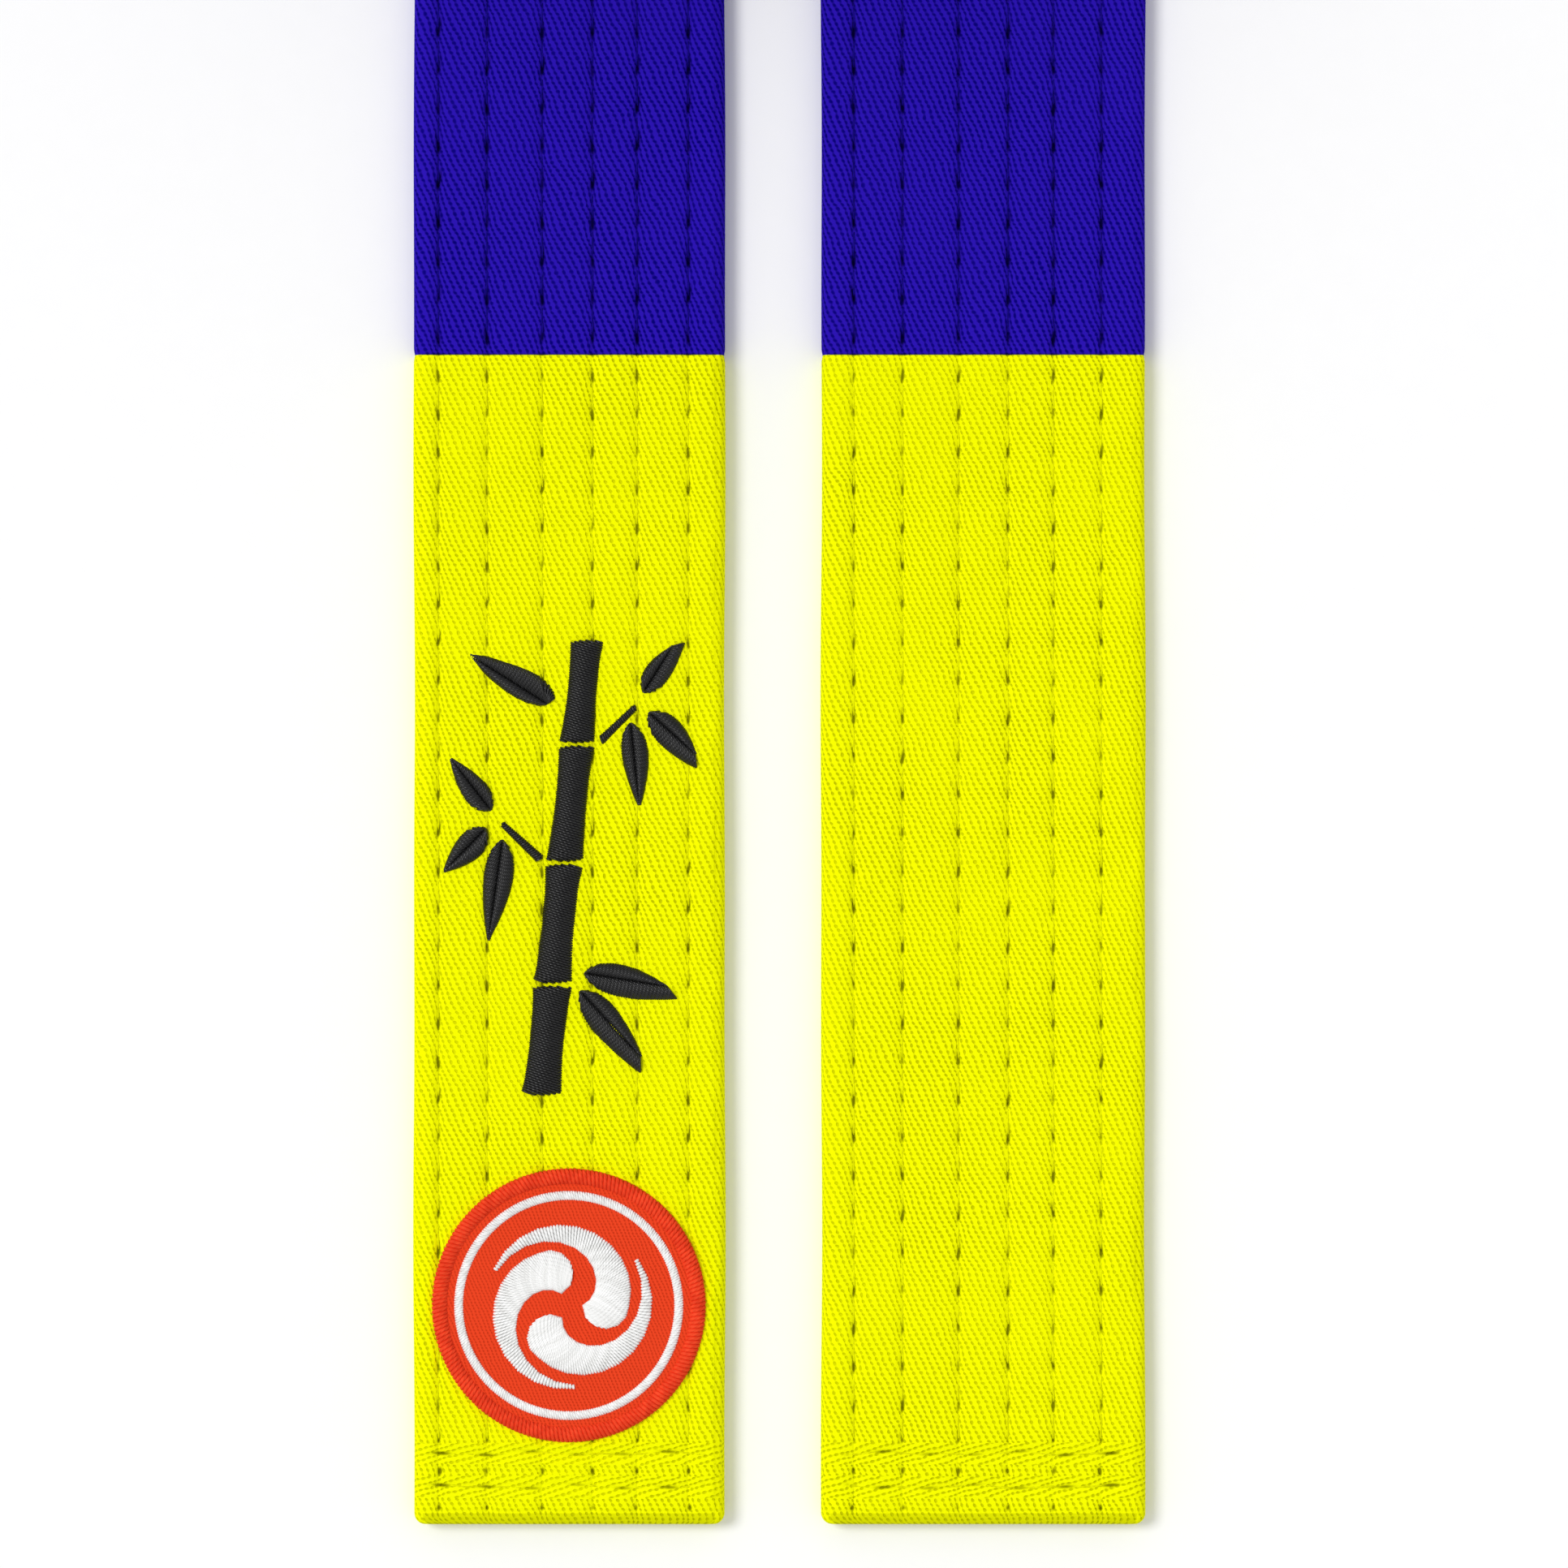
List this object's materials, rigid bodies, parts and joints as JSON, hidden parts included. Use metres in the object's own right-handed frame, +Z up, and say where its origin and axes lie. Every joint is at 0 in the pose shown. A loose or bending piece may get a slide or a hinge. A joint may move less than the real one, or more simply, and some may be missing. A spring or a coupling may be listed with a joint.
{
  "type": "martial arts belt",
  "caption": "Quilted twill martial arts belt with two coloured ends laid flat side by side and the rest wound into a flat twin roll behind them.",
  "frame": {"origin": "on the surface the belt lies on, under the middle of its outer box", "axes": "+Z up, the two ends point to -Y and the roll lies toward +Y, end A (embroidered) is on -X and end B (plain) on +X"},
  "size_m": [0.0918, 0.3452, 0.0472],
  "materials": {
    "blue_twill": "matt cotton twill",
    "yellow_twill": "matt cotton twill",
    "core_canvas": "raw cotton canvas",
    "blue_thread": "polyester sewing thread",
    "yellow_thread": "polyester sewing thread",
    "black_satin_thread": "satin-stitched embroidery thread",
    "patch_twill": "matt twill ground",
    "patch_border_thread": "overlocked embroidery thread",
    "white_satin_thread": "satin-stitched embroidery thread"
  },
  "bodies": {
    "belt_body": {"core_back_ply": "core_canvas", "core_front_ply": "core_canvas", "core_middle_ply": "core_canvas", "cover_lead_a": "blue_twill", "cover_lead_b": "blue_twill", "cover_middle": "blue_twill", "cover_roll_a": "blue_twill", "cover_roll_b": "blue_twill", "quilt_thread_1": "blue_thread", "quilt_thread_2": "blue_thread", "quilt_thread_3": "blue_thread", "quilt_thread_4": "blue_thread", "quilt_thread_5": "blue_thread", "quilt_thread_6": "blue_thread"},
    "end_a": {"bamboo_leaf_1": "black_satin_thread", "bamboo_leaf_2": "black_satin_thread", "bamboo_leaf_3": "black_satin_thread", "bamboo_leaf_4": "black_satin_thread", "bamboo_leaf_5": "black_satin_thread", "bamboo_leaf_6": "black_satin_thread", "bamboo_leaf_7": "black_satin_thread", "bamboo_leaf_8": "black_satin_thread", "bamboo_leaf_9": "black_satin_thread", "bamboo_stalk_1": "black_satin_thread", "bamboo_stalk_2": "black_satin_thread", "bamboo_stalk_3": "black_satin_thread", "bamboo_stalk_4": "black_satin_thread", "bamboo_twig_1": "black_satin_thread", "bamboo_twig_2": "black_satin_thread", "closing_stitch_inner_end_a": "yellow_thread", "closing_stitch_outer_end_a": "yellow_thread", "core_back_ply_end_a": "core_canvas", "core_front_ply_end_a": "core_canvas", "core_middle_ply_end_a": "core_canvas", "cover_end_a": "yellow_twill", "patch_border": "patch_border_thread", "patch_comma_1": "white_satin_thread", "patch_comma_2": "white_satin_thread", "patch_comma_3": "white_satin_thread", "patch_ground": "patch_twill", "patch_ring": "white_satin_thread", "quilt_thread_1_end_a": "yellow_thread", "quilt_thread_2_end_a": "yellow_thread", "quilt_thread_3_end_a": "yellow_thread", "quilt_thread_4_end_a": "yellow_thread", "quilt_thread_5_end_a": "yellow_thread", "quilt_thread_6_end_a": "yellow_thread"},
    "end_b": {"closing_stitch_inner_end_b": "yellow_thread", "closing_stitch_outer_end_b": "yellow_thread", "core_back_ply_end_b": "core_canvas", "core_front_ply_end_b": "core_canvas", "core_middle_ply_end_b": "core_canvas", "cover_end_b": "yellow_twill", "quilt_thread_1_end_b": "yellow_thread", "quilt_thread_2_end_b": "yellow_thread", "quilt_thread_3_end_b": "yellow_thread", "quilt_thread_4_end_b": "yellow_thread", "quilt_thread_5_end_b": "yellow_thread", "quilt_thread_6_end_b": "yellow_thread"}
  },
  "joints": [
    {"name": "end_a_bend", "type": "hinge", "parent": "belt_body", "child": "end_a", "pos_m": [-0.02555, -0.02832, 0.004], "axis": [-1, 0, 0], "range_deg": [0, 120]},
    {"name": "end_b_bend", "type": "hinge", "parent": "belt_body", "child": "end_b", "pos_m": [0.02555, -0.02832, 0.004], "axis": [-1, 0, 0], "range_deg": [0, 120]}
  ]
}
